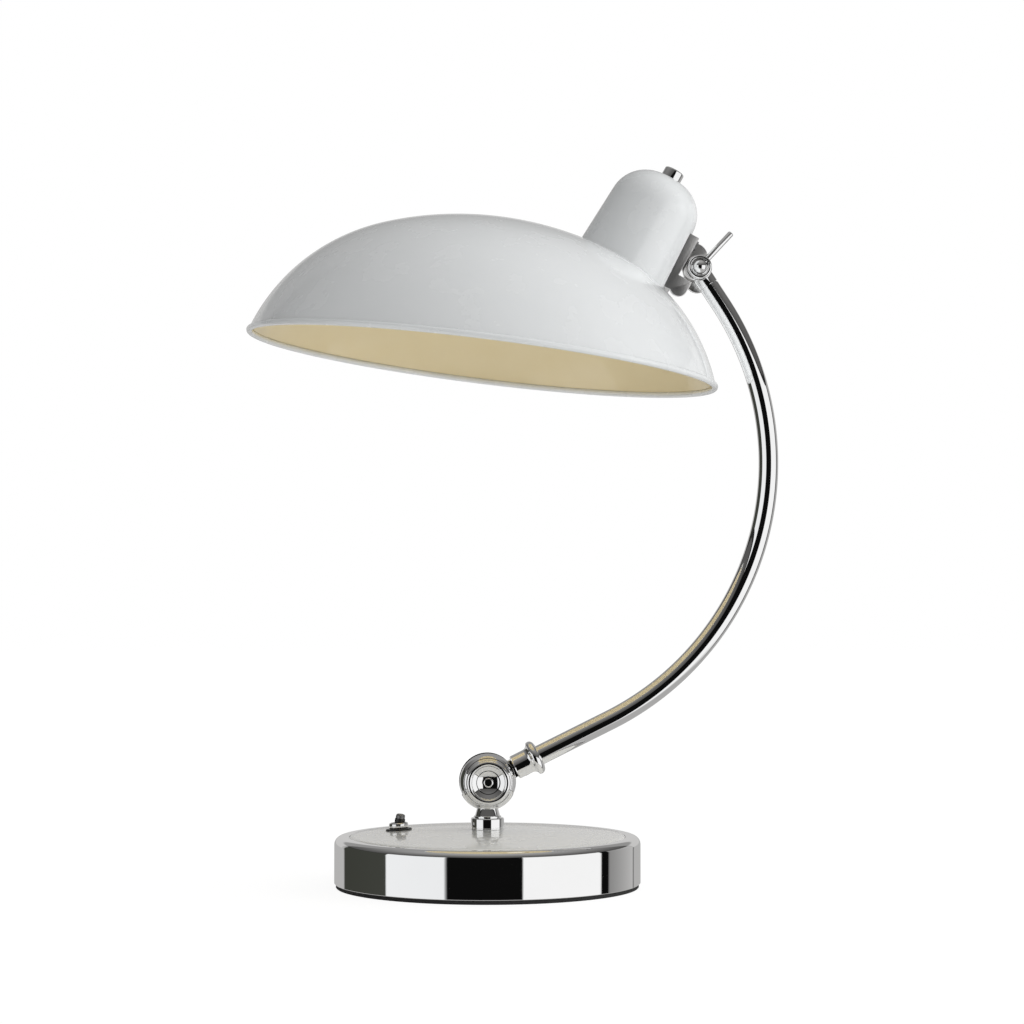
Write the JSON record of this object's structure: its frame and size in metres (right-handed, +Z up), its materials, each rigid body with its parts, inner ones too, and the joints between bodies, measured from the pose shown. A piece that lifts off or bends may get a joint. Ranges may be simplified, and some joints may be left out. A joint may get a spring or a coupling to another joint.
{
  "type": "dome shade desk lamp",
  "caption": "Desk lamp with a wide enamelled dome shade and leaning cap on a curved plated tube arm, with a lockable foot joint, a clamped shade hinge, a switch and a round weighted base.",
  "frame": {"origin": "middle of the foot pad's underside, on the table", "axes": "+Z up; the arm lies in the XZ plane and bows towards +X, the shade reaches towards -X; both tilt axes run along Y and the knob and clamp lever are on the -Y side"},
  "size_m": [0.3208, 0.285, 0.4337],
  "materials": {
    "chrome": "polished chrome plate",
    "white_enamel": "gloss white stove enamel on spun aluminium",
    "felt": "black felt",
    "iron": "raw casting",
    "steel": "zinc plated",
    "rubber": "matt black",
    "black_plastic": "moulded black phenolic",
    "fibre": "red-brown vulcanised fibre",
    "brass": "bright",
    "porcelain": "glazed",
    "bulb_metal": "bright",
    "opal_glass": "opal, not lit"
  },
  "bodies": {
    "base": {"foot_pad": "felt", "bottom_plate": "steel", "bottom_screws": "steel", "base_weight": "iron", "base_ring": "chrome", "top_disc": "white_enamel", "cord_inlet": "rubber", "base_lead": "rubber", "switch_body": "black_plastic", "switch_washer": "black_plastic", "switch_nut": "chrome", "stem_collar": "chrome", "stem_fork": "chrome", "stem_washer": "steel", "stem_nut": "steel", "joint_washers": "fibre", "joint_screw": "chrome"},
    "toggle": {"switch_toggle": "black_plastic"},
    "knob": {"lock_knob": "chrome"},
    "arm": {"arm_knuckle": "chrome", "sleeve_screw": "steel", "arm_tube": "chrome", "arm_lead": "rubber", "arm_eye": "chrome"},
    "head": {"hinge_washers": "fibre", "hinge_screw": "chrome", "hinge_bracket": "chrome", "bracket_screws": "steel", "shade_dome": "white_enamel", "shade_cap": "white_enamel", "cap_nut": "chrome", "nipple": "brass", "nipple_locknut": "brass", "holder_cap": "black_plastic", "holder_insert": "porcelain", "holder_skirt": "black_plastic", "shade_ring": "black_plastic", "screw_shell": "brass", "centre_contact": "brass", "bulb_cap": "bulb_metal", "bulb_glass": "opal_glass", "cap_lead": "rubber"},
    "clamp": {"clamp_nut": "chrome", "clamp_lever": "chrome"}
  },
  "joints": [
    {"name": "arm_tilt", "type": "hinge", "parent": "base", "child": "arm", "pos_m": [0, 0, 0.0626], "axis": [0, 1, 0], "range_deg": [-35, 15]},
    {"name": "shade_tilt", "type": "hinge", "parent": "arm", "child": "head", "pos_m": [0.12734, 0, 0.37145], "axis": [0, 1, 0], "range_deg": [-10, 60]},
    {"name": "arm_lock_turn", "type": "hinge", "parent": "base", "child": "knob", "pos_m": [0, 0, 0.0626], "axis": [0, -1, 0], "range_deg": [0, 180]},
    {"name": "shade_lock_turn", "type": "hinge", "parent": "head", "child": "clamp", "pos_m": [0.12734, 0, 0.37145], "axis": [0, -1, 0], "range_deg": [-60, 30]},
    {"name": "switch_flip", "type": "hinge", "parent": "base", "child": "toggle", "pos_m": [-0.05293, 0.01518, 0.03326], "axis": [-0.2756, -0.9613, 0], "range_deg": [0, 24]}
  ]
}
